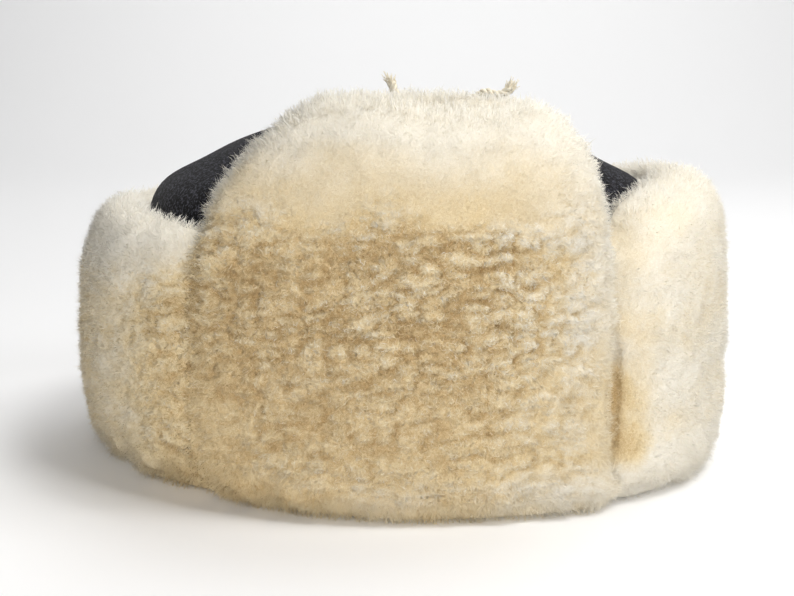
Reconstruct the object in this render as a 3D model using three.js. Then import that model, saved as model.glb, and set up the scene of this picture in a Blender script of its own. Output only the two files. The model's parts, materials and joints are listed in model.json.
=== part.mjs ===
// Sheepskin ear-flap hat, standing on its rim with every flap turned up.
// Millimetres, +Z up, +X to the wearer's front, origin under the middle of the hat on the surface it stands on.

import * as THREE from "three";
import { mergeVertices } from "three/addons/utils/BufferGeometryUtils.js";

// Head hollow and crown
const HEAD_LENGTH = 208;
const HEAD_WIDTH = 172;
const CROWN_WALL = 9;
const CROWN_HEIGHT = 147;
const SHOULDER_HEIGHT = 106;
const CROWN_COLUMNS = 36;
const CROWN_ROWS = 16;

// Shearling flaps
const PILE_DEPTH = 30.5;
const SEAT_GAP = 0.3;
const SIDE_GAP = 0.5;
const EAR_FLAP_REAR_LENGTH = 76;
const EAR_FLAP_FRONT_LENGTH = 90;
const EAR_FLAP_RISE = 11;
const FAR_FLAP_DROP = 3;
const EAR_FLAP_LEAN = 18;
const LEAN_START = 10;
const VISOR_HEIGHT = 125;
const NAPE_HEIGHT = 112;
const BAND_HEIGHT = 62;
const FOOT_HEIGHT = 26;

// Locks of the pile: one lock is two columns wide and two rows high
const LOCK_DEPTH = 1.3;
const EDGE_ROUND = 15;
const EDGE_SHARE = 0.62;

// Joints of the ear flaps with the nape flap and with the visor flap, where the wool closes up below the shoulder
const REAR_JOINT_ROUND = 5;
const REAR_JOINT_SHARE = 0.94;
const FRONT_JOINT_ROUND = 9;
const FRONT_JOINT_SHARE = 0.8;

// Tie cords and their knot
const CORD_DIAMETER = 4;
const CORD_SIDES = 8;
const CORD_STEP = 9;
const KNOT_LENGTH = 15;
const KNOT_WIDTH = 12;
const KNOT_HEIGHT = 7;
const KNOT_AT = [21, 0];

const SUEDE = { color: 0x3e3f47, roughness: 0.92, metalness: 0 };
const WOOL = { color: 0xeee4ca, roughness: 0.95, metalness: 0 };
const COTTON = { color: 0xe2d8c2, roughness: 0.9, metalness: 0 };

// Side of the crown from its rim to its middle: up is a share of SHOULDER_HEIGHT below the shoulder and of the
// dome's rise above it, reach is a share of the crown's half length and half width.
const CROWN_WALL_ROWS = [
  { up: 0.0, reach: 0.985 },
  { up: 0.3, reach: 0.99 },
  { up: 0.6, reach: 0.995 },
  { up: 0.85, reach: 1.0 },
  { up: 1.0, reach: 0.995 },
];
const CROWN_DOME_ROWS = [
  { up: 0.12, reach: 0.982 },
  { up: 0.24, reach: 0.955 },
  { up: 0.37, reach: 0.905 },
  { up: 0.435, reach: 0.845 },
  { up: 0.475, reach: 0.785 },
  { up: 0.58, reach: 0.725 },
  { up: 0.7, reach: 0.645 },
  { up: 0.82, reach: 0.52 },
  { up: 0.92, reach: 0.35 },
  { up: 0.98, reach: 0.17 },
  { up: 1.0, reach: 0.0 },
];

// Sections of a flap that stands straight up: out is a share of PILE_DEPTH, up is a share of the flap's height.
const VISOR_OUTER = [
  { out: 0.66, up: 0.0 },
  { out: 0.86, up: 0.03 },
  { out: 0.96, up: 0.09 },
  { out: 0.995, up: 0.18 },
  { out: 1.0, up: 0.35 },
  { out: 1.0, up: 0.55 },
  { out: 0.985, up: 0.7 },
  { out: 0.93, up: 0.82 },
  { out: 0.8, up: 0.92 },
  { out: 0.56, up: 0.98 },
  { out: 0.26, up: 1.0 },
  { out: -0.03, up: 0.99 },
  { out: -0.19, up: 0.96 },
];
const NAPE_OUTER = [
  { out: 0.4, up: 0.0 },
  { out: 0.66, up: 0.035 },
  { out: 0.84, up: 0.1 },
  { out: 0.95, up: 0.2 },
  { out: 1.0, up: 0.36 },
  { out: 1.0, up: 0.55 },
  { out: 0.99, up: 0.69 },
  { out: 0.93, up: 0.81 },
  { out: 0.8, up: 0.91 },
  { out: 0.6, up: 0.98 },
  { out: 0.34, up: 1.0 },
  { out: 0.12, up: 0.985 },
  { out: 0.02, up: 0.95 },
];
const VISOR_INNER = [
  { out: 0.0, up: 0.0 },
  { out: 0.0, up: 0.3 },
  { out: 0.0, up: 0.6 },
  { out: 0.0, up: 0.86 },
  { out: -0.1, up: 0.93 },
];
const NAPE_INNER = [
  { out: 0.0, up: 0.0 },
  { out: 0.0, up: 0.3 },
  { out: 0.0, up: 0.6 },
  { out: 0.0, up: 0.82 },
  { out: 0.0, up: 0.92 },
];

// Sections of an ear flap, whose upper part leans in over the crown. Below the shoulder up is a share of the
// shoulder's height, and from 1 to 2 it is the share of the rise above it. in is a share of EAR_FLAP_LEAN.
const EAR_OUTER = [
  { out: 0.55, in: 0, up: 0.0 },
  { out: 0.78, in: 0, up: 0.028 },
  { out: 0.92, in: 0, up: 0.085 },
  { out: 0.985, in: 0, up: 0.18 },
  { out: 1.0, in: 0, up: 0.38 },
  { out: 1.0, in: 0, up: 0.62 },
  { out: 1.0, in: 0, up: 0.85 },
  { out: 1.0, in: 0.03, up: 1.08 },
  { out: 1.0, in: 0.16, up: 1.34 },
  { out: 1.0, in: 0.42, up: 1.6 },
  { out: 0.88, in: 0.7, up: 1.82 },
  { out: 0.68, in: 0.9, up: 1.95 },
  { out: 0.4, in: 1.0, up: 2.0 },
  { out: 0.12, in: 1.0, up: 1.95 },
  { out: 0.02, in: 1.0, up: 1.85 },
];
const EAR_INNER = [
  { out: 0.0, in: 0, up: 0.0 },
  { out: 0.0, in: 0, up: 0.35 },
  { out: 0.0, in: 0, up: 0.7 },
  { out: 0.0, in: 0.02, up: 1.02 },
  { out: 0.0, in: 0.16, up: 1.22 },
  { out: 0.0, in: 0.42, up: 1.42 },
  { out: 0.0, in: 0.74, up: 1.6 },
  { out: 0.0, in: 1.0, up: 1.73 },
];

// Upper edge of each flap: along runs from its rear end to its front end, rise is the share of the full height
// above the band that all flaps share.
const EAR_TOP = [
  { along: 0.0, rise: 0.32 },
  { along: 0.05, rise: 0.54 },
  { along: 0.11, rise: 0.76 },
  { along: 0.17, rise: 0.9 },
  { along: 0.24, rise: 0.975 },
  { along: 0.34, rise: 1.0 },
  { along: 0.6, rise: 1.0 },
  { along: 0.76, rise: 0.98 },
  { along: 0.85, rise: 0.95 },
  { along: 0.91, rise: 0.89 },
  { along: 0.96, rise: 0.78 },
  { along: 1.0, rise: 0.58 },
];
const VISOR_TOP = [
  { along: 0.0, rise: 0.52 },
  { along: 0.05, rise: 0.72 },
  { along: 0.1, rise: 0.85 },
  { along: 0.18, rise: 0.93 },
  { along: 0.32, rise: 0.98 },
  { along: 0.5, rise: 1.0 },
  { along: 0.68, rise: 0.98 },
  { along: 0.82, rise: 0.93 },
  { along: 0.9, rise: 0.85 },
  { along: 0.95, rise: 0.72 },
  { along: 1.0, rise: 0.52 },
];
const NAPE_TOP = [
  { along: 0.0, rise: 0.86 },
  { along: 0.12, rise: 0.93 },
  { along: 0.3, rise: 0.98 },
  { along: 0.5, rise: 1.0 },
  { along: 0.7, rise: 0.98 },
  { along: 0.88, rise: 0.93 },
  { along: 1.0, rise: 0.86 },
];

// Fullness of each flap's foot from its rear end to its front end: the share by which the section is wider where
// it meets the surface. The hat's rear corners tuck in and its front spreads.
const EAR_FOOT = [
  { along: 0.0, share: 0.6 },
  { along: 0.14, share: 0.78 },
  { along: 0.32, share: 1.0 },
  { along: 0.6, share: 1.15 },
  { along: 0.85, share: 1.3 },
  { along: 1.0, share: 1.42 },
];
const VISOR_FOOT = [
  { along: 0.0, share: 1.18 },
  { along: 0.5, share: 1.1 },
  { along: 1.0, share: 1.18 },
];
const NAPE_FOOT = [
  { along: 0.0, share: 0.82 },
  { along: 0.25, share: 0.95 },
  { along: 0.5, share: 1.3 },
  { along: 0.75, share: 0.95 },
  { along: 1.0, share: 0.82 },
];

// Routes of the tie cords, from each ear flap's tip to the knot and from the knot to the frayed ends
const ROUTE_RIGHT = [
  [14, -75.1, 143.6],
  [15.4, -64, 144],
  [17, -48, 145.4],
  [18.6, -31, 147.6],
  [19.8, -16, 149.8],
  [20.4, -6.4, 150.9],
];
const ROUTE_LEFT = [
  [14, 75.6, 141],
  [16, 62, 142],
  [18.2, 45, 144.2],
  [20.2, 28, 147],
  [21.2, 14, 149.6],
  [21.6, 6.4, 150.9],
];
const ROUTE_END_REAR = [
  [13.1, -1.5, 150.8],
  [7.5, -4.5, 150.6],
  [2.5, -7, 151.2],
  [-1.5, -8.5, 153.6],
  [-3.6, -9.2, 158],
  [-4.8, -9.4, 163],
];
const ROUTE_END_FRONT = [
  [29, -1.5, 151.2],
  [32.8, -4.5, 153.6],
  [36.4, -7, 155.4],
  [40, -8.4, 154.6],
  [43.4, -9, 154.6],
  [46.2, -9.2, 156.6],
  [48, -9.2, 160],
];

const crownHalf = {
  x: HEAD_LENGTH / 2 + CROWN_WALL,
  y: HEAD_WIDTH / 2 + CROWN_WALL,
};
const outerHalf = {
  x: crownHalf.x + SEAT_GAP + PILE_DEPTH,
  y: crownHalf.y + SEAT_GAP + PILE_DEPTH,
};
const earFlapHeight = CROWN_HEIGHT + EAR_FLAP_RISE;

// A closed geometry from a list of points and a list of triangles, with its flat triangles dropped
function closedGeometry(points, triangles) {
  const geometry = new THREE.BufferGeometry();
  geometry.setAttribute("position", new THREE.Float32BufferAttribute(points.flat(), 3));
  geometry.setIndex(triangles);
  const merged = mergeVertices(geometry, 1e-4);
  const kept = [];
  const index = merged.index.array;
  for (let t = 0; t < index.length; t += 3) {
    const [a, b, c] = [index[t], index[t + 1], index[t + 2]];
    if (a !== b && b !== c && c !== a) {
      kept.push(a, b, c);
    }
  }
  merged.setIndex(kept);
  merged.computeVertexNormals();
  return merged;
}

// A body between an outer and an inner grid of points, each a list of columns that run upwards. Columns go
// anticlockwise seen from above. A ring closes on itself and ends in a point on top; a panel has four edges.
function thickSheet(outer, inner, isRing) {
  const columns = outer.length;
  const rows = outer[0].length;
  const points = [...outer.flat(), ...inner.flat()];
  const triangles = [];
  const outerAt = (i, j) => (i % columns) * rows + j;
  const innerAt = (i, j) => columns * rows + (i % columns) * rows + j;
  const quad = (a, b, c, d) => triangles.push(a, b, c, a, c, d);
  const spans = isRing ? columns : columns - 1;
  for (let i = 0; i < spans; i += 1) {
    for (let j = 0; j < rows - 1; j += 1) {
      quad(outerAt(i, j), outerAt(i + 1, j), outerAt(i + 1, j + 1), outerAt(i, j + 1));
      quad(innerAt(i, j), innerAt(i, j + 1), innerAt(i + 1, j + 1), innerAt(i + 1, j));
    }
    quad(outerAt(i + 1, 0), outerAt(i, 0), innerAt(i, 0), innerAt(i + 1, 0));
    if (!isRing) {
      const top = rows - 1;
      quad(outerAt(i, top), outerAt(i + 1, top), innerAt(i + 1, top), innerAt(i, top));
    }
  }
  if (!isRing) {
    const last = columns - 1;
    for (let j = 0; j < rows - 1; j += 1) {
      quad(outerAt(0, j), outerAt(0, j + 1), innerAt(0, j + 1), innerAt(0, j));
      quad(outerAt(last, j + 1), outerAt(last, j), innerAt(last, j), innerAt(last, j + 1));
    }
  }
  return closedGeometry(points, triangles);
}

// Evenly spaced points of a smooth curve through a list of [x, y] pairs
function smoothProfile(pairs, steps) {
  const curve = new THREE.SplineCurve(pairs.map(([x, y]) => new THREE.Vector2(x, y)));
  return curve.getSpacedPoints(steps);
}

// Value of a table's column at a place along the flap
function readTable(table, column, along) {
  const last = table.length - 2;
  const row = Math.min(last, Math.max(0, table.findIndex((entry) => entry.along > along) - 1));
  const k = along >= 1 ? last : row;
  const t = (along - table[k].along) / (table[k + 1].along - table[k].along);
  return THREE.MathUtils.lerp(table[k][column], table[k + 1][column], THREE.MathUtils.clamp(t, 0, 1));
}

function crownGeometry() {
  const domeRise = CROWN_HEIGHT - SHOULDER_HEIGHT;
  const pairs = [
    ...CROWN_WALL_ROWS.map((row) => [row.reach * crownHalf.y, row.up * SHOULDER_HEIGHT]),
    ...CROWN_DOME_ROWS.map((row) => [row.reach * crownHalf.y, SHOULDER_HEIGHT + row.up * domeRise]),
  ];
  const profile = smoothProfile(pairs, CROWN_ROWS);
  const dome = (inset) => {
    const columns = [];
    for (let i = 0; i < CROWN_COLUMNS; i += 1) {
      const angle = (i / CROWN_COLUMNS) * 2 * Math.PI;
      columns.push(profile.map((point) => {
        const reach = point.x / crownHalf.y;
        const up = point.y / CROWN_HEIGHT;
        return [
          reach * (crownHalf.x - inset) * Math.cos(angle),
          reach * (crownHalf.y - inset) * Math.sin(angle),
          up * (CROWN_HEIGHT - inset),
        ];
      }));
    }
    return columns;
  };
  return thickSheet(dome(0), dome(CROWN_WALL), true);
}

// Share of the pile's depth at a distance from the end of a flap, where its wool rounds off
function roundedShare(distance, round, endShare) {
  const t = Math.min(distance / round, 1);
  return endShare + (1 - endShare) * Math.sqrt(1 - (1 - t) ** 2);
}

// Depth of a flap's end: closed up with its neighbour below BAND_HEIGHT and free above the shoulder
function jointEnd(round, endShare) {
  return (distance, height) => {
    const closed = roundedShare(distance, round, endShare);
    const free = roundedShare(distance, EDGE_ROUND, EDGE_SHARE);
    return THREE.MathUtils.lerp(closed, free, THREE.MathUtils.smoothstep(height, BAND_HEIGHT, SHOULDER_HEIGHT));
  };
}

const rearEnd = jointEnd(REAR_JOINT_ROUND, REAR_JOINT_SHARE);
const frontEnd = jointEnd(FRONT_JOINT_ROUND, FRONT_JOINT_SHARE);

// Change of the section's depth towards the surface that the hat stands on
function footShare(height, foot) {
  const t = Math.max(1 - height / FOOT_HEIGHT, 0);
  return 1 + (foot - 1) * t * t;
}

// Push of the locks at a grid point: staggered crests with grooves between them
function lockPush(i, j, columns, rows) {
  const isEdge = i === 0 || i === columns || j < 2 || j > rows - 2;
  if (isEdge) {
    return 0;
  }
  const stagger = Math.floor(j / 2) % 2;
  const isCrest = j % 2 === 1 && (i + stagger) % 2 === 1;
  return isCrest ? LOCK_DEPTH : -LOCK_DEPTH / 2;
}

// One flap from its two section profiles in offset and height. Above lowLine its height follows the top table.
// It leans in only above the shoulder, and its low corners less than its middle. ends has the rounding of its
// first and of its last end.
function flapGeometry({ from, to, columns, rows, outerPairs, innerPairs, lowLine, top, foot, ends, reversed }) {
  const outerProfile = smoothProfile(outerPairs, rows);
  const innerProfile = smoothProfile(innerPairs, rows);
  const place = (angle, offset, height) => [
    (crownHalf.x + offset) * Math.cos(angle),
    (crownHalf.y + offset) * Math.sin(angle),
    height,
  ];
  const arc = (angle) => Math.hypot(outerHalf.x * Math.sin(angle), outerHalf.y * Math.cos(angle));
  const length = arc((from + to) / 2) * (to - from);
  const outer = [];
  const inner = [];
  for (let i = 0; i <= columns; i += 1) {
    const share = i / columns;
    const angle = THREE.MathUtils.lerp(from, to, share);
    const along = reversed ? 1 - share : share;
    const rise = readTable(top, "rise", along);
    const footing = readTable(foot, "share", along);
    const depthAt = (height) =>
      ends[0](share * length, height) * ends[1]((1 - share) * length, height) * footShare(height, footing);
    const lift = (height) => (height > lowLine ? lowLine + (height - lowLine) * rise : height);
    const leanShare = (height) =>
      rise * rise * THREE.MathUtils.smoothstep(height, SHOULDER_HEIGHT, SHOULDER_HEIGHT + LEAN_START);
    const outOf = (point) => (point.x > 0 ? point.x : point.x * leanShare(lift(point.y)));
    outer.push(outerProfile.map((point, j) => {
      const ahead = outerProfile[Math.min(j + 1, rows)];
      const behind = outerProfile[Math.max(j - 1, 0)];
      const tangent = ahead.clone().sub(behind).normalize();
      const push = lockPush(i, j, columns, rows);
      const depth = point.x > 0 ? depthAt(point.y) : 1;
      const offset = SEAT_GAP + outOf(point) * depth + push * tangent.y;
      return place(angle, offset, lift(point.y) - push * tangent.x);
    }));
    inner.push(innerProfile.map((point) => place(angle, SEAT_GAP + outOf(point), lift(point.y))));
  }
  return thickSheet(outer, inner, false);
}

// Angle of the outer oval at a distance in front of its middle, on the side that has negative Y
const sideAngle = (forward) => -Math.acos(forward / outerHalf.x);
const halfSlit = SIDE_GAP / 2 / crownHalf.y;
const rearAngle = sideAngle(-EAR_FLAP_REAR_LENGTH);
const frontAngle = sideAngle(EAR_FLAP_FRONT_LENGTH);

function standingPairs(table, height) {
  return table.map((row) => [row.out * PILE_DEPTH, row.up * height]);
}

function earPairs(table, height) {
  return table.map((row) => {
    const low = Math.min(row.up, 1) * SHOULDER_HEIGHT;
    const high = Math.max(row.up - 1, 0) * (height - SHOULDER_HEIGHT);
    return [row.out * PILE_DEPTH - row.in * EAR_FLAP_LEAN, low + high];
  });
}

function earFlapGeometry(isNear) {
  const height = isNear ? earFlapHeight : earFlapHeight - FAR_FLAP_DROP;
  return flapGeometry({
    from: isNear ? rearAngle + halfSlit : -frontAngle + halfSlit,
    to: isNear ? frontAngle - halfSlit : -rearAngle - halfSlit,
    columns: 24,
    rows: 22,
    outerPairs: earPairs(EAR_OUTER, height),
    innerPairs: earPairs(EAR_INNER, height),
    lowLine: SHOULDER_HEIGHT,
    top: EAR_TOP,
    foot: EAR_FOOT,
    ends: isNear ? [rearEnd, frontEnd] : [frontEnd, rearEnd],
    reversed: !isNear,
  });
}

function visorGeometry() {
  return flapGeometry({
    from: frontAngle + halfSlit,
    to: -frontAngle - halfSlit,
    columns: 28,
    rows: 18,
    outerPairs: standingPairs(VISOR_OUTER, VISOR_HEIGHT),
    innerPairs: standingPairs(VISOR_INNER, VISOR_HEIGHT),
    lowLine: BAND_HEIGHT,
    top: VISOR_TOP,
    foot: VISOR_FOOT,
    ends: [frontEnd, frontEnd],
    reversed: false,
  });
}

function napeGeometry() {
  return flapGeometry({
    from: -rearAngle + halfSlit,
    to: 2 * Math.PI + rearAngle - halfSlit,
    columns: 28,
    rows: 16,
    outerPairs: standingPairs(NAPE_OUTER, NAPE_HEIGHT),
    innerPairs: standingPairs(NAPE_INNER, NAPE_HEIGHT),
    lowLine: BAND_HEIGHT,
    top: NAPE_TOP,
    foot: NAPE_FOOT,
    ends: [rearEnd, rearEnd],
    reversed: false,
  });
}

function cordGeometry(route) {
  const curve = new THREE.CatmullRomCurve3(route.map((point) => new THREE.Vector3(...point)));
  const section = new THREE.Shape();
  for (let k = 0; k < CORD_SIDES; k += 1) {
    const angle = (k / CORD_SIDES) * 2 * Math.PI;
    const x = (CORD_DIAMETER / 2) * Math.cos(angle);
    const y = (CORD_DIAMETER / 2) * Math.sin(angle);
    if (k === 0) {
      section.moveTo(x, y);
    } else {
      section.lineTo(x, y);
    }
  }
  const steps = Math.max(4, Math.round(curve.getLength() / CORD_STEP));
  return new THREE.ExtrudeGeometry(section, { steps, extrudePath: curve });
}

function knotGeometry() {
  const knot = new THREE.SphereGeometry(0.5, 12, 8);
  knot.rotateX(Math.PI / 2);
  knot.scale(KNOT_LENGTH, KNOT_WIDTH, KNOT_HEIGHT);
  return knot;
}

const hat = new THREE.Group();

function addPiece(name, geometry, finish) {
  const mesh = new THREE.Mesh(geometry, new THREE.MeshStandardMaterial(finish));
  mesh.name = name;
  hat.add(mesh);
  return mesh;
}

addPiece("crown", crownGeometry(), SUEDE);
addPiece("visor_flap", visorGeometry(), WOOL);
addPiece("nape_flap", napeGeometry(), WOOL);
addPiece("ear_flap_right", earFlapGeometry(true), WOOL);
addPiece("ear_flap_left", earFlapGeometry(false), WOOL);
addPiece("tie_cord_right", cordGeometry(ROUTE_RIGHT), COTTON);
addPiece("tie_cord_left", cordGeometry(ROUTE_LEFT), COTTON);
addPiece("tie_end_rear", cordGeometry(ROUTE_END_REAR), COTTON);
addPiece("tie_end_front", cordGeometry(ROUTE_END_FRONT), COTTON);
const knot = addPiece("tie_knot", knotGeometry(), COTTON);
knot.position.set(KNOT_AT[0], KNOT_AT[1], CROWN_HEIGHT + SEAT_GAP + KNOT_HEIGHT / 2);

export default hat;
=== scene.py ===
"""Looks of the sheepskin ear-flap hat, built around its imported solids.

Metres, +Z up, +X to the wearer's front.
"""

import json
import math

import bmesh
import bpy
import numpy as np
from mathutils import Vector
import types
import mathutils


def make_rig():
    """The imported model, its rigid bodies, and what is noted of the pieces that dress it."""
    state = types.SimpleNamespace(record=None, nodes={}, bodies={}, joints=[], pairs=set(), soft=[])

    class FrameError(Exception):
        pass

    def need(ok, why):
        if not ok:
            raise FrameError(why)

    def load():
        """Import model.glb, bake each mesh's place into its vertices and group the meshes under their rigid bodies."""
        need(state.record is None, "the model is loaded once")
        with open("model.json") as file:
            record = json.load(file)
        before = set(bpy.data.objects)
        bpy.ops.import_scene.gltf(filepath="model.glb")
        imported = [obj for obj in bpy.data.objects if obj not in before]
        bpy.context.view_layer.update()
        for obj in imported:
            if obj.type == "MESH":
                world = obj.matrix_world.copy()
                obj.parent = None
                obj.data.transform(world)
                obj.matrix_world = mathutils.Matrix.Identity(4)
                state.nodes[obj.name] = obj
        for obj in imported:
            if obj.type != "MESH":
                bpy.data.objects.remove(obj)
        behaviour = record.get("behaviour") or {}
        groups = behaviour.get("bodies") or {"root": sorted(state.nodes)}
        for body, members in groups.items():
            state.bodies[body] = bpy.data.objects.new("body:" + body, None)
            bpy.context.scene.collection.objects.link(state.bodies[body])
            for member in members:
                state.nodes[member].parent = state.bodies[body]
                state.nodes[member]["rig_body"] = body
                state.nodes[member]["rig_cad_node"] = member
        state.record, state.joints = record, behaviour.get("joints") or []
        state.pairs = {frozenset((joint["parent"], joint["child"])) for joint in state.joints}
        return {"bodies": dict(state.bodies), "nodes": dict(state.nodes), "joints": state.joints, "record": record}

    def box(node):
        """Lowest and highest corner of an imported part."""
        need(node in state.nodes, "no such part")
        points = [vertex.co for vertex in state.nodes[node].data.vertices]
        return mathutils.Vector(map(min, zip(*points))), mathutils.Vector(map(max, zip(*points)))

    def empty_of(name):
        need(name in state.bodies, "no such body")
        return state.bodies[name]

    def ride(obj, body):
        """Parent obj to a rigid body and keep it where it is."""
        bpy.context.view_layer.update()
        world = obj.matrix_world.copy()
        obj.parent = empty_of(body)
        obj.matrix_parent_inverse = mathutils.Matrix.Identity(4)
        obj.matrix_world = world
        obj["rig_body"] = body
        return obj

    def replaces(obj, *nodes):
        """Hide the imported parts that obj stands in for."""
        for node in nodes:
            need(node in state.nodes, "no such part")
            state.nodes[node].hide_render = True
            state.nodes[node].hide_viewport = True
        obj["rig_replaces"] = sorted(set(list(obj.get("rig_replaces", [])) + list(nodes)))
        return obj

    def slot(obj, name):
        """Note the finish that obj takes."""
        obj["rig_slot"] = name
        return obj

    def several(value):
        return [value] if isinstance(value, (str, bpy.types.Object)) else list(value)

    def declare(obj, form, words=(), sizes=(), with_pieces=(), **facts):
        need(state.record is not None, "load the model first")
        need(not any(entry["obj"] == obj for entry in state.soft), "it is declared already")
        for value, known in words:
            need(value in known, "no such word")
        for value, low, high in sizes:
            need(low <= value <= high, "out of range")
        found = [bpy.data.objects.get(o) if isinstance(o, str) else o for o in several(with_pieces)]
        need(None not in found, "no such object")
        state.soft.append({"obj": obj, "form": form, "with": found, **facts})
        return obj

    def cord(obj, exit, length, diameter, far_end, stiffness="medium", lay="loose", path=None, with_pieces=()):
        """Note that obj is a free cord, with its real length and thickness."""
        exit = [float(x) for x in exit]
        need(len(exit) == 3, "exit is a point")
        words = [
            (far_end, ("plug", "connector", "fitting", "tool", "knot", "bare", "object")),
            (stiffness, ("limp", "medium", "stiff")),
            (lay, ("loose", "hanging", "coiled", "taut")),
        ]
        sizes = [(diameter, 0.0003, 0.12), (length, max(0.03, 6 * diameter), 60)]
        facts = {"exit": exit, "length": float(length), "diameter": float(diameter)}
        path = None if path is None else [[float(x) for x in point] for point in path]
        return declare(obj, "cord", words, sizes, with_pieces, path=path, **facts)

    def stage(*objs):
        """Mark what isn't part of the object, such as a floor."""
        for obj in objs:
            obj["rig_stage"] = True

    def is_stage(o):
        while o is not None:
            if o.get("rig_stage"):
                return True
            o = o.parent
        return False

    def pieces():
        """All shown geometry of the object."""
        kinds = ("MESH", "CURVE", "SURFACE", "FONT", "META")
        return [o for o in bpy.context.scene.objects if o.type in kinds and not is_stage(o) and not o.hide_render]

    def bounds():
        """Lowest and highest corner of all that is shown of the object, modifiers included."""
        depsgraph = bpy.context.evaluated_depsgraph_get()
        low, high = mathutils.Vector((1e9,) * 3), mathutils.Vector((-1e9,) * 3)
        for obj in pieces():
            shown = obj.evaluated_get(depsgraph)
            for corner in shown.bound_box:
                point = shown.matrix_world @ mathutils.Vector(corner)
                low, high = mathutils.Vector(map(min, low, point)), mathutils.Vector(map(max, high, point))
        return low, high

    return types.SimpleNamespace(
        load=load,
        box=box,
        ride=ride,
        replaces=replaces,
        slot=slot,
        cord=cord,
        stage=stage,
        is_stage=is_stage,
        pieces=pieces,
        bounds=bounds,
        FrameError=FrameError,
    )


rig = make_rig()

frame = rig.load()
cad_box = [list(corner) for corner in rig.bounds()]

MM = 0.001

# Seed of the random draws, to which each use adds a number of its own
SEED = 11

# Camera, fitted to the hat's outline in the photograph, with its angles in degrees and lens in mm
CAMERA_DISTANCE = 0.58
CAMERA_ELEVATION = 9.2
CAMERA_TURN = 3.0
CAMERA_AIM_HEIGHT = 0.075
CAMERA_LOOK = (-0.0022, 0.0, 0.0636)
SENSOR_WIDTH = 36.0
LENS = 58.5

# Cord routes in mm, the same points as the solids of the cords follow
ROUTES_MM = {
    "tie_cord_right": [
        (14, -75.1, 143.6),
        (15.4, -64, 144),
        (17, -48, 145.4),
        (18.6, -31, 147.6),
        (19.8, -16, 149.8),
        (20.4, -6.4, 150.9),
    ],
    "tie_cord_left": [
        (14, 75.6, 141),
        (16, 62, 142),
        (18.2, 45, 144.2),
        (20.2, 28, 147),
        (21.2, 14, 149.6),
        (21.6, 6.4, 150.9),
    ],
    "tie_end_rear": [
        (13.1, -1.5, 150.8),
        (7.5, -4.5, 150.6),
        (2.5, -7, 151.2),
        (-1.5, -8.5, 153.6),
        (-3.6, -9.2, 158),
        (-4.8, -9.4, 163),
    ],
    "tie_end_front": [
        (29, -1.5, 151.2),
        (32.8, -4.5, 153.6),
        (36.4, -7, 155.4),
        (40, -8.4, 154.6),
        (43.4, -9, 154.6),
        (46.2, -9.2, 156.6),
        (48, -9.2, 160),
    ],
}
CORD_DIAMETER = 4 * MM

# Half sizes of the crown's oval, and the depth of skin and pile outside it
crown_low, crown_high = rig.box("crown")
CROWN_HALF = (crown_high - crown_low) / 2
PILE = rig.box("visor_flap")[1].x - crown_high.x


def link(obj):
    bpy.context.collection.objects.link(obj)
    return obj


def look_from(camera, place, target):
    camera.location = place
    camera.rotation_euler = (Vector(target) - Vector(place)).to_track_quat("-Z", "Y").to_euler()


def make_camera():
    data = bpy.data.cameras.new("camera")
    data.sensor_width = SENSOR_WIDTH
    data.lens = LENS
    data.clip_start = 0.01
    camera = link(bpy.data.objects.new("camera", data))
    up = math.radians(CAMERA_ELEVATION)
    turn = math.radians(CAMERA_TURN)
    flat = CAMERA_DISTANCE * math.cos(up)
    place = (
        flat * math.sin(turn),
        -flat * math.cos(turn),
        CAMERA_AIM_HEIGHT + CAMERA_DISTANCE * math.sin(up),
    )
    look_from(camera, place, CAMERA_LOOK)
    bpy.context.scene.camera = camera


def smoothstep(low, high, value):
    t = np.clip((value - low) / (high - low), 0, 1)
    return t * t * (3 - 2 * t)


def fade(low, high, value):
    """1 up to the low value, softly down to 0 at the high one."""
    return 1 - smoothstep(low, high, value)


def unit(vectors):
    length = np.linalg.norm(vectors, axis=-1, keepdims=True)
    return vectors / np.maximum(length, 1e-12)


NOISE_SIZE = 4096
NOISE_PRIMES = (73856093, 19349663, 83492791)


def noise(points, feature, seed):
    """Smooth noise from -1 to 1 with features of the given size."""
    table = np.random.default_rng(seed).uniform(-1, 1, NOISE_SIZE)
    scaled = points / feature
    cell = np.floor(scaled).astype(np.int64)
    part = scaled - cell
    part = part * part * (3 - 2 * part)
    total = np.zeros(len(points))
    for corner in np.ndindex(2, 2, 2):
        spot = (cell + corner) * NOISE_PRIMES
        hashed = (spot[:, 0] ^ spot[:, 1] ^ spot[:, 2]) % NOISE_SIZE
        weight = np.where(corner, part, 1 - part).prod(1)
        total += weight * table[hashed]
    return total


def mesh_from_arrays(name, points, faces, uv=None):
    """A mesh object from arrays of points and of faces that all have as many corners."""
    mesh = bpy.data.meshes.new(name)
    corners = faces.shape[1]
    mesh.vertices.add(len(points))
    mesh.vertices.foreach_set("co", points.astype(np.float32).ravel())
    mesh.loops.add(faces.size)
    mesh.loops.foreach_set("vertex_index", faces.astype(np.int32).ravel())
    mesh.polygons.add(len(faces))
    mesh.polygons.foreach_set("loop_start", np.arange(0, faces.size, corners, dtype=np.int32))
    if uv is not None:
        layer = mesh.uv_layers.new(name="OFBake")
        layer.data.foreach_set("uv", uv[faces.ravel()].astype(np.float32).ravel())
    mesh.update(calc_edges=True)
    mesh.validate()
    return link(bpy.data.objects.new(name, mesh))


def shade_smooth(obj):
    obj.data.polygons.foreach_set("use_smooth", np.ones(len(obj.data.polygons), bool))
    obj.data.update()


def apply_modifiers(obj):
    graph = bpy.context.evaluated_depsgraph_get()
    old = obj.data
    obj.data = bpy.data.meshes.new_from_object(obj.evaluated_get(graph))
    obj.modifiers.clear()
    bpy.data.meshes.remove(old)


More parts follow.
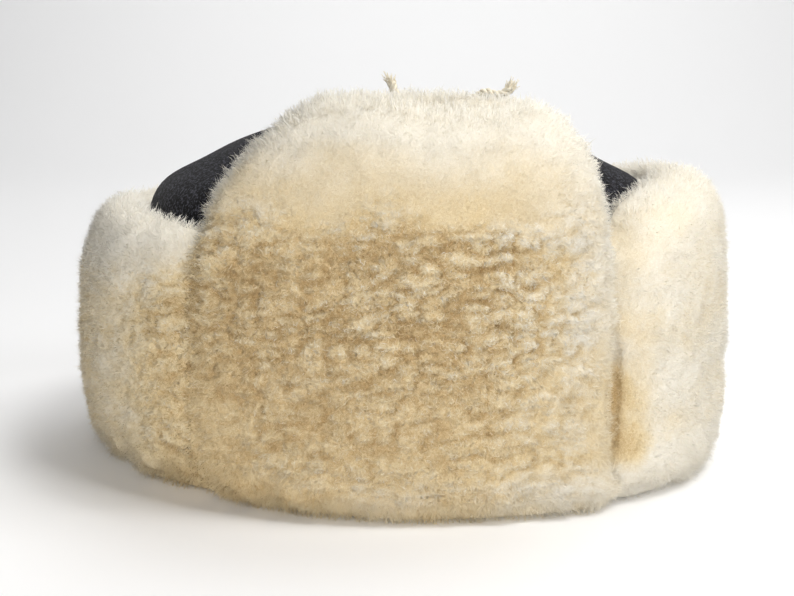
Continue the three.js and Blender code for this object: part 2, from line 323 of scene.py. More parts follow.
def remeshed(node, name, voxel, smoothing):
    """A copy of a solid as an even net of small faces, with its facets smoothed away."""
    obj = link(bpy.data.objects.new(name, frame["nodes"][node].data.copy()))
    remesh = obj.modifiers.new("remesh", "REMESH")
    remesh.mode = "VOXEL"
    remesh.voxel_size = voxel
    smooth = obj.modifiers.new("smooth", "SMOOTH")
    smooth.iterations = smoothing
    apply_modifiers(obj)
    return obj


def arrays_of(mesh):
    """Points, point normals and triangles of a mesh."""
    points = np.empty(len(mesh.vertices) * 3, np.float32)
    mesh.vertices.foreach_get("co", points)
    normals = np.empty(len(mesh.vertices) * 3, np.float32)
    mesh.vertices.foreach_get("normal", normals)
    mesh.calc_loop_triangles()
    triangles = np.empty(len(mesh.loop_triangles) * 3, np.int32)
    mesh.loop_triangles.foreach_get("vertices", triangles)
    points = points.reshape(-1, 3).astype(float)
    normals = normals.reshape(-1, 3).astype(float)
    return points, normals, triangles.reshape(-1, 3)


def set_points(mesh, points):
    mesh.vertices.foreach_set("co", points.astype(np.float32).ravel())
    mesh.update()


def oval_frame(points):
    """Distance outside the crown's oval, and its outward and sideways directions, at each point."""
    half = np.array([CROWN_HALF.x, CROWN_HALF.y])
    flat = points[:, :2]
    ratio = np.maximum(np.linalg.norm(flat / half, axis=1), 1e-6)
    offset = np.linalg.norm(flat, axis=1) * (1 - 1 / ratio)
    outward = unit(np.c_[flat / half**2, np.zeros(len(points))])
    sideways = np.c_[-outward[:, 1], outward[:, 0], np.zeros(len(points))]
    return offset, outward, sideways


def scatter(points, normals, triangles, weights, count, rng):
    """Random points on a mesh with their normals, denser where the point weights are larger."""
    first, second, third = (points[triangles[:, k]] for k in range(3))
    area = np.linalg.norm(np.cross(second - first, third - first), axis=1)
    chance = area * weights[triangles].mean(1)
    pick = rng.choice(len(triangles), count, p=chance / chance.sum())
    root = np.sqrt(rng.random(count))
    along = rng.random(count)
    share = np.c_[1 - root, root * (1 - along), root * along][:, :, None]
    chosen = triangles[pick]
    return (points[chosen] * share).sum(1), unit((normals[chosen] * share).sum(1))


# Each flap's look: size of its fleece's faces, counts of curls and of upright hairs, how strongly its
# face is folded, and the height above which the wool wraps over to the flap's inner side
FLAPS = {
    "ear_flap_right": dict(voxel=1.9 * MM, curls=97000, hairs=176000, folds=1.0, hem=0.138),
    "ear_flap_left": dict(voxel=2.7 * MM, curls=27000, hairs=48000, folds=1.0, hem=0.135),
    "visor_flap": dict(voxel=2.5 * MM, curls=43000, hairs=72000, folds=0.15, hem=0.104),
    "nape_flap": dict(voxel=2.5 * MM, curls=43000, hairs=72000, folds=0.3, hem=0.09),
}
FLEECE_SMOOTHING = 45
HEM_BLUR = 4 * MM
FLOOR_CLEARANCE = 0.4 * MM

# How deep the pile's mean surface lies inside the solid: on its face, then more on its rims, on the
# ear flaps' tops, toward their front and on the skin side. The fleece lies under the fibres' roots.
FLEECE_INSET = 2.2 * MM
RIM_INSET = 0.6 * MM
TOP_INSET = 2.2 * MM
FRONT_TOP_INSET = 3 * MM
HIDE_INSET = 2 * MM
FLEECE_DEPTH = 0.4 * MM
TOP_HEIGHTS = (0.13, 0.15)
TOP_REAR_X = (-0.005, 0.024)
TOP_FRONT_X = (0.035, 0.055)

# Joints of the ear flaps with the next flaps, named by their outer ends' X. The flaps' wool closes
# over them up to the heights where the flaps part, but for an open groove in the front joint.
FRONT_JOINT = 90 * MM
REAR_JOINT = -76 * MM
PART_HEIGHTS = (0.094, 0.112)
REAR_OVERLAP = 6 * MM
FRONT_OVERLAP = 3 * MM
RAGGED_SIZE = 7 * MM
GROOVE_DEPTH = 7.5 * MM
GROOVE_WIDTH = 3.5 * MM
GROOVE_FOOT = (0.014, 0.026)
GROOVE_HEAD = (0.058, 0.076)

# Shading across the joints: how much it is evened out, and how far from them that ends
REAR_BLEND = 0.9
REAR_BLEND_END = (0.004, 0.014)
FRONT_BLEND = 0.7
FRONT_BLEND_END = (0.002, 0.01)

# Shading turned up on the skin side and in the groove, where it also turns inward
UP_TURN = 1.2
INWARD_TURN = 0.6

# Relief of the pile: level folds, small clumps on them, soft lumps, and a lifted and lumpy foot
FOLD_RISE = 2.5 * MM
FOLD_SIZE = 8.5 * MM
FOLD_FLATNESS = 3.6
FOLD_WARP = 4 * MM
FOLD_WARP_SIZE = 30 * MM
CLUMP_RISE = 1.3 * MM
CLUMP_SIZE = 3 * MM
CLUMP_FLATNESS = 1.5
LUMP_RISE = 1.3 * MM
LUMP_SIZE = 40 * MM
SMALL_LUMP_SIZE = 14 * MM
FOOT_LUMP = 2.2 * MM
FOOT_LUMP_SIZE = 9 * MM
FOOT_LUMP_END = (0.005, 0.022)
FOOT_LIFT = 2.6 * MM
FOOT_LIFT_SIZE = 11 * MM
FOOT_LIFT_END = (0.0, 0.01)
SLOPE_STEP = 0.9 * MM
MAX_SLOPE = 1.1
UP = np.array((0.0, 0.0, 1.0))

# Where the pile is folded: on upright faces, from the foot to the wavy border of the smooth upper
# part, in patches, less beside the front joint and low on the ear flaps, and most on the nape flap
# beside its joint
UPRIGHT = (0.45, 0.85)
FOLDED_FOOT = (-0.03, 0.02)
FOLDED_TOP = (0.1, 0.124)
BORDER_WAVE = 8 * MM
BORDER_WAVE_SIZE = 24 * MM
PATCH_MEAN = 0.85
PATCH_RANGE = 0.4
PATCH_SIZE = 35 * MM
FRONT_FOLDS_START = (0.004, 0.022)
NAPE_FOLDS_END = (0.004, 0.045)
LOW_FOLDS = 0.62
LOW_FOLDS_END = (0.035, 0.075)


def joint_distance(points, joint):
    """Distance along the hat's side from the joint of two flaps, named by its outer end's X."""
    offset, _, _ = oval_frame(points)
    half = np.array([CROWN_HALF.x, CROWN_HALF.y]) + offset[:, None]
    turn = np.arctan2(np.abs(points[:, 1]) / half[:, 1], points[:, 0] / half[:, 0])
    spot = math.acos(joint / (CROWN_HALF.x + PILE))
    reach = np.hypot(half[:, 0] * math.sin(spot), half[:, 1] * math.cos(spot))
    return np.abs(turn - spot) * reach


def fold_height(points):
    """Level folds of the pile, from 0 in a crease to 1 on a crest."""
    warp = noise(points, FOLD_WARP_SIZE, SEED + 4)[:, None] * UP * FOLD_WARP
    wide = np.abs(noise((points + warp) * (1, 1, FOLD_FLATNESS), FOLD_SIZE, SEED + 5))
    return np.clip(wide / 0.4, 0, 1) ** 0.85


def clump_height(points):
    """Small clumps of the pile, from 0 between them to 1 on them."""
    wide = np.abs(noise(points * (1, 1, CLUMP_FLATNESS), CLUMP_SIZE, SEED + 6))
    return np.clip(wide / 0.45, 0, 1) ** 0.8


def curliness(node, points, normals):
    """How strongly the pile is folded: most on a flap's upright middle, hardly on its edges and top."""
    upright = smoothstep(*UPRIGHT, 1 - np.abs(normals[:, 2]))
    border = points[:, 2] + BORDER_WAVE * noise(points, BORDER_WAVE_SIZE, SEED + 17)
    height = smoothstep(*FOLDED_FOOT, points[:, 2]) * fade(*FOLDED_TOP, border)
    folds = FLAPS[node]["folds"]
    if node.startswith("ear"):
        height = height * smoothstep(*FRONT_FOLDS_START, joint_distance(points, FRONT_JOINT))
        low = fade(*LOW_FOLDS_END, points[:, 2])
        height = height * (1 - (1 - LOW_FOLDS) * low)
    elif node == "nape_flap":
        folds = folds + (1 - folds) * fade(*NAPE_FOLDS_END, joint_distance(points, REAR_JOINT))
    patch = PATCH_MEAN + PATCH_RANGE * noise(points, PATCH_SIZE, SEED + 7)
    return np.clip(upright * height * patch, 0, 1) * folds


def relief(node, points, normals):
    """Height of a flap's folds, clumps and lumps over its mean surface."""
    curl = curliness(node, points, normals)
    rise = FOLD_RISE * curl * (fold_height(points) - 0.6)
    rise += CLUMP_RISE * (0.25 + 0.75 * curl) * (clump_height(points) - 0.5)
    foot = fade(*FOOT_LUMP_END, points[:, 2])
    rise += FOOT_LUMP * foot * noise(points, FOOT_LUMP_SIZE, SEED + 18)
    lumps = noise(points, LUMP_SIZE, SEED + 12) + 0.5 * noise(points, SMALL_LUMP_SIZE, SEED + 13)
    return rise + LUMP_RISE * lumps


def crevice(points):
    """1 at the heights where the joint of an ear flap with the visor flap stays open."""
    return smoothstep(*GROOVE_FOOT, points[:, 2]) * fade(*GROOVE_HEAD, points[:, 2])


def groove_at(points):
    """1 in the middle of that open joint, 0 beside it."""
    return crevice(points) * fade(0.0, GROOVE_WIDTH, joint_distance(points, FRONT_JOINT))


def pile_facing(node, points, normals, rise):
    """Directions square to the pile, evened out across the joints and turned inward in the groove."""
    _, outward, _ = oval_frame(points)
    closed = fade(*PART_HEIGHTS, points[:, 2])
    rear = REAR_BLEND * closed * fade(*REAR_BLEND_END, joint_distance(points, REAR_JOINT))
    front = FRONT_BLEND * closed * fade(*FRONT_BLEND_END, joint_distance(points, FRONT_JOINT))
    front = front * (1 - crevice(points))
    facing = normals + (outward - normals) * (rear + front)[:, None]
    facing += UP_TURN * UP * smoothstep(0.1, 0.6, -(normals * outward).sum(1))[:, None]
    level = unit(np.cross(normals, (0.3, 0.2, 1.0)))
    for way in (level, np.cross(normals, level)):
        slope = (relief(node, points + way * SLOPE_STEP, normals) - rise) / SLOPE_STEP
        facing -= way * np.clip(slope, -MAX_SLOPE, MAX_SLOPE)[:, None]
    facing -= (INWARD_TURN * outward + UP_TURN * UP) * groove_at(points)[:, None]
    return unit(facing)


def settle(node, points, normals):
    """Points of a flap's smooth surface moved onto its pile, and the directions square to it there."""
    rise = relief(node, points, normals)
    shown = exposure(node, points, normals)
    _, outward, sideways = oval_frame(points)
    outness = (normals * outward).sum(1)
    rear_half = fade(*TOP_FRONT_X, points[:, 0])
    top = TOP_INSET * rear_half + FRONT_TOP_INSET * (smoothstep(*TOP_REAR_X, points[:, 0]) * rear_half)
    inset = FLEECE_INSET + RIM_INSET * rim(points, normals)
    inset = inset + top * smoothstep(*TOP_HEIGHTS, points[:, 2]) - rise
    sink = shown * (smoothstep(-0.5, 0.2, outness) * inset + groove_at(points) * GROOVE_DEPTH)
    sink += (1 - shown) * smoothstep(0.4, 0.7, -outness) * HIDE_INSET
    above_foot = smoothstep(0, FLEECE_INSET, points[:, 2])
    level = np.ones(len(points))
    moved = points - normals * sink[:, None] * np.c_[level, level, above_foot]
    ragged = 1 + 0.9 * noise(points * UP, RAGGED_SIZE, SEED + 19)
    front_overlap = FRONT_OVERLAP * (1 - crevice(points)) * ragged
    overlap = np.where(points[:, 0] < 0, REAR_OVERLAP, front_overlap)
    overlap *= (normals * sideways).sum(1) * fade(*PART_HEIGHTS, points[:, 2]) * above_foot
    moved += sideways * overlap[:, None]
    lift = FOOT_LIFT * np.clip(noise(points, FOOT_LIFT_SIZE, SEED + 21) + 0.3, 0, 1)
    moved[:, 2] += lift * shown * fade(*FOOT_LIFT_END, points[:, 2])
    return moved, pile_facing(node, points, normals, rise)


def exposure(node, points, normals):
    """1 where the wool shows, down to 0 on a flap's skin side, its foot and its joints."""
    offset, outward, sideways = oval_frame(points)
    outness = (normals * outward).sum(1)
    shown = smoothstep(-0.6, -0.2, outness + 0.35 * np.maximum(normals[:, 2], 0))
    sided = smoothstep(0.6, 0.9, np.abs((normals * sideways).sum(1)))
    closed = fade(*PART_HEIGHTS, points[:, 2])
    joint = (0.42 + closed * np.where(points[:, 0] < 0, 0.5, 0.3)) * PILE
    shown *= 1 - sided * fade(0.6 * joint, joint, offset)
    hem = FLAPS[node]["hem"]
    shown = np.maximum(shown, smoothstep(hem - HEM_BLUR, hem + HEM_BLUR, points[:, 2]))
    return shown * smoothstep(-0.98, -0.75, normals[:, 2])


# Tones of the wool, from 0, deep gold, to 1, pale cream. Each paler area of an ear flap has what it
# adds to the gold, and the ranges of X and of height over which it sets in, or over which it ends
# where the larger value stands first. A range below the floor takes in all heights.
EAR_GOLD = 0.23
ALL_HEIGHTS = (-2.0, -1.0)
EAR_AREAS = {
    "front": (0.38, (0.028, 0.07), ALL_HEIGHTS),
    "lower rear": (0.12, (0.07, 0.028), (0.075, 0.025)),
    "upper front": (0.28, (0.062, 0.074), (0.04, 0.08)),
    "upper rear": (0.3, (-0.03, -0.062), (0.104, 0.12)),
}
EAR_RIM = 0.45
EAR_RIM_START = (0.085, 0.11)
VISOR_CREAM = 0.9
# Painted shade of the open joint's crevice on the visor: darker along the joint and golden low down, over the wool's
# deeper colour there
VISOR_JOINT_SHADE = 0.16
VISOR_GOLD_SHADE = 0.6
VISOR_GOLD_SHADE_START = (0.01, 0.02)
VISOR_GOLD_SHADE_END = (0.04, 0.062)
VISOR_JOINT_END = (0.006, 0.022)
VISOR_PATCH_SIZE = 12 * MM
NAPE_GOLD = 0.28
NAPE_AWAY = 0.4
NAPE_AWAY_REACH = 50 * MM

# The pale top of the ear and visor flaps sets in twice: a share of it at the lower heights
TOP_SHARE = 0.42
PALE_START = (0.1, 0.115)
PALE_END = (0.12, 0.147)
# Paler foot: partly a paler colour, partly painted light bounced up from the floor
PALE_FOOT_AND_BOUNCE = 0.26
PALE_FOOT_AND_BOUNCE_END = (0.01, 0.026)
BLOTCH_SIZE = 24 * MM
BLOTCH_FLATNESS = 2.4
SMALL_BLOTCH_SIZE = 8 * MM
# Painted shade and highlight in the tone: deeper gold in the pile's creases and between its clumps, paler on its
# crests and clumps
CREASE_SHADE_TONE = 0.52
CLUMP_SHADE_TONE = 0.4


def ear_tone(points, normals):
    """Tone of an ear flap below its top: golden at the rear, paler to the front, foot and rims."""
    x, height = points[:, 0], points[:, 2]
    tone = EAR_GOLD + EAR_RIM * rim(points, normals) * smoothstep(*EAR_RIM_START, height)
    for amount, x_range, height_range in EAR_AREAS.values():
        tone = tone + amount * smoothstep(*x_range, x) * smoothstep(*height_range, height)
    return tone


def visor_tone(points):
    """Tone of the visor flap: cream, darker along its joints and golden low there, a painted shade of the crevice over
    the wool's deeper colour.
    """
    height = points[:, 2]
    joint = fade(*VISOR_JOINT_END, joint_distance(points, FRONT_JOINT))
    patch = np.clip(0.85 + 0.9 * noise(points, VISOR_PATCH_SIZE, SEED + 16), 0, 1.2)
    # Painted shade of the crevice, golden low down
    gold_shade = smoothstep(*VISOR_GOLD_SHADE_START, height) * fade(*VISOR_GOLD_SHADE_END, height)
    return VISOR_CREAM - joint * patch * (VISOR_JOINT_SHADE + VISOR_GOLD_SHADE * gold_shade)


def pile_tone(node, points, normals):
    """Tone of the pile from 0, deep gold, to 1, pale cream, with painted shade in its creases and between clumps and
    painted highlight on crests and clumps.
    """
    curl = curliness(node, points, normals)
    height = points[:, 2]
    ragged = height + BORDER_WAVE * noise(points, 20 * MM, SEED + 15)
    top = TOP_SHARE * smoothstep(*PALE_START, ragged)
    top = top + (1 - TOP_SHARE) * smoothstep(*PALE_END, ragged)
    if node.startswith("ear"):
        base = ear_tone(points, normals)
    elif node == "visor_flap":
        base = visor_tone(points)
    else:
        away = smoothstep(0.0, NAPE_AWAY_REACH, joint_distance(points, REAR_JOINT))
        base = NAPE_GOLD + NAPE_AWAY * away
        top = smoothstep(0.084 - 0.014 * away, 0.108 - 0.01 * away, ragged)
    # Paler foot, partly painted light bounced up from the floor
    foot = PALE_FOOT_AND_BOUNCE * fade(*PALE_FOOT_AND_BOUNCE_END, height) * smoothstep(-0.1, 0.0, points[:, 0])
    blotches = 0.09 * noise(points * (1, 1, BLOTCH_FLATNESS), BLOTCH_SIZE, SEED + 8)
    blotches = blotches + 0.07 * noise(points, SMALL_BLOTCH_SIZE, SEED + 9)
    # Painted shade in the creases and between clumps, painted highlight on the crests and clumps
    painted_shade_and_highlight = CREASE_SHADE_TONE * curl * (0.7 - fold_height(points))
    painted_shade_and_highlight = painted_shade_and_highlight + CLUMP_SHADE_TONE * curl * (0.6 - clump_height(points))
    tone = base + (1.0 - base) * top + foot + blotches * (1 - 0.75 * top) - painted_shade_and_highlight
    return np.clip(tone, 0, 1)


# How far fibres' colours move toward their root colour: painted shade in creases, between clumps, and on the low rear
# of the side, which is the side in shade
CREASE_SHADE_DEPTH = 0.7
CLUMP_SHADE_DEPTH = 0.45
# Painted shade on the low rear of the hat's side, the side away from the lamps
SHADED_SIDE_DEPTH = 0.24
SHADED_SIDE_X_END = (-0.06, 0.02)
SHADED_SIDE_HEIGHT_END = (0.08, 0.108)


def shade_depth(points, curl):
    """How far a fibre's colour moves toward its root colour: painted shade in creases and between clumps, painted
    highlight on crests and clumps, and painted shade on the low rear of the hat's side.
    """
    relief_shade = CREASE_SHADE_DEPTH * curl * (0.75 - fold_height(points))
    relief_shade = relief_shade + CLUMP_SHADE_DEPTH * curl * (0.6 - clump_height(points))
    # Painted shade on the low rear of the side, away from the lamps
    shaded_side = fade(*SHADED_SIDE_X_END, points[:, 0]) * fade(*SHADED_SIDE_HEIGHT_END, points[:, 2])
    return relief_shade + SHADED_SIDE_DEPTH * shaded_side


def rim(points, normals):
    """1 on a flap's rounded edges and top, 0 on its open face."""
    _, outward, _ = oval_frame(points)
    return fade(0.35, 0.85, (normals * outward).sum(1))


def tangents(normals, rng):
    """A random direction across each normal, and the one square to both."""
    first = unit(np.cross(normals, rng.normal(0, 1, normals.shape)))
    return first, np.cross(normals, first)


def hair_mesh(name, points, faces, uv, normals):
    """A mesh of wool fibres that is lit like the pile's surface beneath it."""
    obj = mesh_from_arrays(name, points, faces, uv)
    shade_smooth(obj)
    obj.data.normals_split_custom_set_from_vertices(normals.tolist())
    return obj


def turned_out(corners, faces, normals):
    """A row of triangles for each fibre, turned so that its first one looks out of the pile."""
    first, second, third = (corners[faces[:, 0, k]] for k in range(3))
    turned = (np.cross(second - first, third - first) * normals).sum(1) < 0
    faces[turned] = faces[turned][:, :, ::-1]
    return faces.reshape(-1, 3)


# Fibres: sizes with the ranges of their factors, how far neighbours lean together and over what
# size, which gathers them into small tufts, the depths in the pile, from 0 at its root to 1 at its
# tip, that colour their corners, and how widely tone and shading vary on even and on folded pile
CURL_LENGTH = 2.3 * MM
CURL_LENGTHS = (0.5, 1.4)
CURL_BOWS = (0.1, 0.35)
CURL_RISE = 1.5 * MM
CURL_END_RISES = (0.3, 1.9)
CURL_WIDTH = 0.24 * MM
CURL_WIDTHS = (0.6, 1.2)
CURL_ROOT = 0.5 * MM
CURL_LIFT = 0.3 * MM
CURL_DEPTHS = (-0.15, 0.05, 0.05, 0.1)
BRIGHT_SHARE = 0.07
HAIR_LENGTH = 2.7 * MM
HAIR_LENGTHS = (0.3, 1.15)
HAIR_LEANS = (0.1, 1.1)
HAIR_WIDTH = 0.15 * MM
HAIR_WIDTHS = (0.7, 1.2)
HAIR_DEPTHS = (0.3, 0.3, 0.96)
FOLDED_HAIR_SHARE = 0.6
STRAY_SHARE = 0.06
STRAY_LENGTH = 1.4
FOOT_HAIR_EXTRA = 0.7
FOOT_HAIR_END = (0.003, 0.012)
SWAY = 1.6 * MM
SWAY_SIZE = 3.2 * MM
DEPTH_LIMITS = (0.02, 0.98)
CURL_TONE_SPREAD = (0.06, 0.17)
CURL_LIT_SPREAD = (0.12, 0.2)
HAIR_TONE_SPREAD = (0.03, 0.08)
HAIR_LIT_SPREAD = (0.12, 0.1)


def sway(points):
    """Lean that neighbouring fibres share."""
    return SWAY * np.stack([noise(points, SWAY_SIZE, SEED + 30 + k) for k in range(3)], 1)


def varied(values, spread, curl, rng):
    """Values with random changes, of the first spread on even pile and both together on folded pile."""
    even, folded = spread
    amount = (even + folded * curl).reshape(-1, *[1] * (values.ndim - 1))
    return values + amount * rng.normal(0, 1, values.shape)


def make_curls(points, normals, lit, tone, curl, rng):
    """Bent ends of fibres that arch over the pile, two triangles each."""
    count = len(points)
    along, across = tangents(normals, rng)
    edge = rim(points, normals)[:, None]
    length = CURL_LENGTH * rng.uniform(*CURL_LENGTHS, (count, 1))
    length = length * (0.7 + 0.3 * curl[:, None] + 0.5 * edge)
    bow = length * rng.uniform(*CURL_BOWS, (count, 1)) * rng.choice((-1, 1), (count, 1))
    rise = CURL_RISE * rng.random((count, 1)) * (1.0 - 0.2 * curl[:, None] + 1.2 * edge)
    width = CURL_WIDTH * rng.uniform(*CURL_WIDTHS, (count, 1))
    lean = sway(points) * (1 + 0.8 * edge)
    start = points - along * length / 2 - normals * CURL_ROOT
    middle = points + across * bow + normals * (rise + CURL_LIFT) + lean * 0.4
    end_rise = rise * rng.uniform(*CURL_END_RISES, (count, 1))
    end = points + along * length / 2 + normals * end_rise + lean * 0.7
    side = across * width / 2
    corners = np.stack([start, middle - side, middle + side, end], 1).reshape(-1, 3)
    corners[:, 2] = np.maximum(corners[:, 2], FLOOR_CLEARANCE)
    base = np.arange(count)[:, None] * 4
    faces = np.concatenate([base + (0, 1, 2), base + (1, 3, 2)], 1).reshape(-1, 2, 3)
    faces = turned_out(corners, faces, normals)
    bright = (rng.random(count) < BRIGHT_SHARE) * curl
    tone = np.clip(varied(tone, CURL_TONE_SPREAD, curl, rng) + 0.4 * bright, 0, 1)
    depth = 0.3 + 0.5 * rise[:, 0] / CURL_RISE + 0.15 * rng.normal(0, 1, count) + 0.3 * bright
    # Painted shade in creases, between clumps and on the low rear side, painted highlight on crests and clumps
    depth = np.clip(depth - shade_depth(points, curl), 0, 1)
    uv = np.stack([np.repeat(tone, 4), np.repeat(depth, 4) + np.tile(CURL_DEPTHS, count)], 1)
    lit = unit(varied(lit, CURL_LIT_SPREAD, curl, rng))
    return corners, faces, np.clip(uv, *DEPTH_LIMITS), np.repeat(lit, 4, axis=0)


def make_hairs(points, normals, lit, tone, curl, rng):
    """Thin upright hairs of the pile, one triangle each."""
    count = len(points)
    lean, _ = tangents(normals, rng)
    edge = rim(points, normals)[:, None]
    length = HAIR_LENGTH * rng.uniform(*HAIR_LENGTHS, (count, 1))
    length = length * (1 - (1 - FOLDED_HAIR_SHARE) * curl[:, None])
    length *= (1 - 0.2 * edge) * (1 + 0.3 * noise(points, 0.006, SEED + 14)[:, None])
    length = np.where(rng.random((count, 1)) < STRAY_SHARE, length * STRAY_LENGTH, length)
    length *= 1 + FOOT_HAIR_EXTRA * fade(*FOOT_HAIR_END, points[:, 2:])
    grow = normals + lean * rng.uniform(*HAIR_LEANS, (count, 1)) * (1 + 0.5 * edge)
    tip = points + grow * length + sway(points) * length / HAIR_LENGTH
    across = unit(np.cross(grow, rng.normal(0, 1, normals.shape)))
    half = across * HAIR_WIDTH / 2 * rng.uniform(*HAIR_WIDTHS, (count, 1))
    corners = np.stack([points - half, points + half, tip], 1).reshape(-1, 3)
    corners[:, 2] = np.maximum(corners[:, 2], FLOOR_CLEARANCE)
    faces = turned_out(corners, np.arange(count * 3).reshape(-1, 1, 3), normals)
    tone = np.clip(varied(tone, HAIR_TONE_SPREAD, curl, rng), 0, 1)
    # Painted shade in creases, between clumps and on the low rear side, painted highlight on crests and clumps
    depth = np.array(HAIR_DEPTHS) - 0.7 * shade_depth(points, curl)[:, None]
    uv = np.stack([np.repeat(tone, 3), np.clip(depth, *DEPTH_LIMITS).ravel()], 1)
    lit = unit(varied(lit, HAIR_LIT_SPREAD, curl, rng))
    return corners, faces, uv, np.repeat(lit, 3, axis=0)


def make_flap(node, seed):
    """A flap's fleece, a softly folded body inside its solid, and the curls and hairs on it."""
    row = FLAPS[node]
    fleece = remeshed(node, "fleece_" + node, row["voxel"], FLEECE_SMOOTHING)
    points, normals, triangles = arrays_of(fleece.data)
    shown = exposure(node, points, normals)
    curl = curliness(node, points, normals)
    settled, _ = settle(node, points, normals)
    set_points(fleece.data, settled - normals * (shown * FLEECE_DEPTH)[:, None])
    shade_smooth(fleece)
    tone = fleece.data.attributes.new("tone", "FLOAT", "POINT")
    tone.data.foreach_set("value", pile_tone(node, points, normals).astype(np.float32))
    deep = crevice(points) * fade(0.0, 0.005, joint_distance(points, FRONT_JOINT))
    foot = fade(0.004, 0.014, points[:, 2])
    hair_weights = shown * (1 - 0.75 * deep) * (1 + 1.5 * foot)
    folded = np.maximum(0.35 + 0.65 * curl / row["folds"], 0.75 * rim(points, normals))
    rng = np.random.default_rng(seed)
    pieces = [fleece]
    for kind, make, weights in (
        ("curls", make_curls, hair_weights * folded),
        ("hairs", make_hairs, hair_weights),
    ):
        roots, directions = scatter(points, normals, triangles, weights, row[kind], rng)
        tones = pile_tone(node, roots, directions)
        curls = curliness(node, roots, directions)
        roots, lit = settle(node, roots, directions)
        fibres = make(roots, directions, lit, tones, curls, rng)
        pieces.append(hair_mesh(kind + "_" + node, *fibres))
    for piece in pieces:
        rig.replaces(piece, node)
        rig.slot(piece, "wool")
        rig.ride(piece, "root")
    return pieces


def welded(node, name):
    """A copy of a solid, and the same as an editable mesh whose faces share their corners."""
    obj = link(bpy.data.objects.new(name, frame["nodes"][node].data.copy()))
    body = bmesh.new()
    body.from_mesh(obj.data)
    bmesh.ops.remove_doubles(body, verts=body.verts, dist=1e-6)
    return obj, body


JOIN_ANGLE = 0.9


def keep_faces(obj, body, test):
    """Leaves only the faces that pass the test, joined into four-sided ones where they pair up."""
    drop = [face for face in body.faces if not test(face)]
    bmesh.ops.delete(body, geom=drop, context="FACES")
    bmesh.ops.join_triangles(
        body,
        faces=body.faces,
        angle_face_threshold=JOIN_ANGLE,
        angle_shape_threshold=JOIN_ANGLE,
    )
    body.to_mesh(obj.data)
    body.free()


def thicken(obj, levels, thickness):
    """Makes a bare face a sheet of a thickness, after some levels of smoothing."""
    if levels:
        subdivide = obj.modifiers.new("subdivide", "SUBSURF")
        subdivide.levels = levels
    solid = obj.modifiers.new("solid", "SOLIDIFY")
    solid.thickness = thickness
    solid.offset = -1
    apply_modifiers(obj)
    shade_smooth(obj)


SUEDE_THICKNESS = 1.6 * MM
LINING_THICKNESS = 5 * MM

# Soft dents of the crown: size and depth of the wide and of the small ones, and the heights between
# which the outer ones grow, as the flaps hold the crown below them
DENTS = ((0.04, 0.9 * MM, SEED + 2), (0.015, 0.35 * MM, SEED + 3))
FREE_HEIGHTS = (0.09, 0.115)
LINING_DENTS = 0.3


def make_crown():
    """The crown's suede outside and the short fleece inside it, from the two domes of its solid."""
    low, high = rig.box("crown")
    pieces = []
    for name, is_outer in (("crown_suede", True), ("crown_lining", False)):
        obj, body = welded("crown", name)
        centre = Vector((0, 0, high.z / 2))

        def on_side(face):
            on_rim = face.normal.z < -0.99 and face.calc_center_median().z < 1e-5
            outward = face.normal.dot(face.calc_center_median() - centre) > 0
            return not on_rim and outward == is_outer

        keep_faces(obj, body, on_side)
        if is_outer:
            thicken(obj, 2, SUEDE_THICKNESS)
        else:
            thicken(obj, 1, LINING_THICKNESS)
        points, normals, _ = arrays_of(obj.data)
        soft = sum(depth * noise(points, size, seed) for size, depth, seed in DENTS)
        share = smoothstep(*FREE_HEIGHTS, points[:, 2]) if is_outer else LINING_DENTS
        points += normals * (soft * share)[:, None]
        points[:, 2] = np.maximum(points[:, 2], 0)
        set_points(obj.data, points)
        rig.replaces(obj, "crown")
        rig.slot(obj, "suede" if is_outer else "wool")
        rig.ride(obj, "root")
        pieces.append(obj)
    return pieces


# How squarely the corners of a flap's skin side face the crown, at least
INWARD = 0.8


def make_skin(node):
    """The suede side of a flap's hide, which faces the crown."""
    obj, body = welded(node, "skin_" + node)

    def on_skin(face):
        centre = face.calc_center_median()
        if centre.z > FLAPS[node]["hem"]:
            return False
        outward = Vector((centre.x / CROWN_HALF.x**2, centre.y / CROWN_HALF.y**2, 0)).normalized()
        return all(vert.normal.dot(outward) < -INWARD for vert in face.verts)

    keep_faces(obj, body, on_skin)
    thicken(obj, 0, SUEDE_THICKNESS)
    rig.replaces(obj, node)
    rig.slot(obj, "suede")
    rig.ride(obj, "root")
    return obj


def spline(points, per_span):
    """Catmull-Rom points through a route, evenly many for each span."""
    route = np.array(points, float)
    ends = np.vstack([2 * route[0] - route[1], route, 2 * route[-1] - route[-2]])
    t = np.linspace(0, 1, per_span, endpoint=False)[:, None]
    spans = []
    for k in range(len(route) - 1):
        a, b, c, d = ends[k:k + 4]
        bend = 2 * a - 5 * b + 4 * c - d
        twist = 3 * b - a - 3 * c + d
        spans.append(0.5 * (2 * b + (c - a) * t + bend * t**2 + twist * t**3))
    return np.vstack([*spans, route[-1:]])


def path_frames(path):
    """Directions along and across a path, without twist."""
    along = unit(np.gradient(path, axis=0))
    across = np.empty_like(path)
    start = np.cross(along[0], (0.0, 0.0, 1.0))
    across[0] = unit(start if np.linalg.norm(start) > 1e-3 else np.array([1.0, 0, 0]))
    for k in range(1, len(path)):
        moved = across[k - 1] - along[k] * np.dot(across[k - 1], along[k])
        across[k] = unit(moved)
    return along, across, np.cross(along, across)


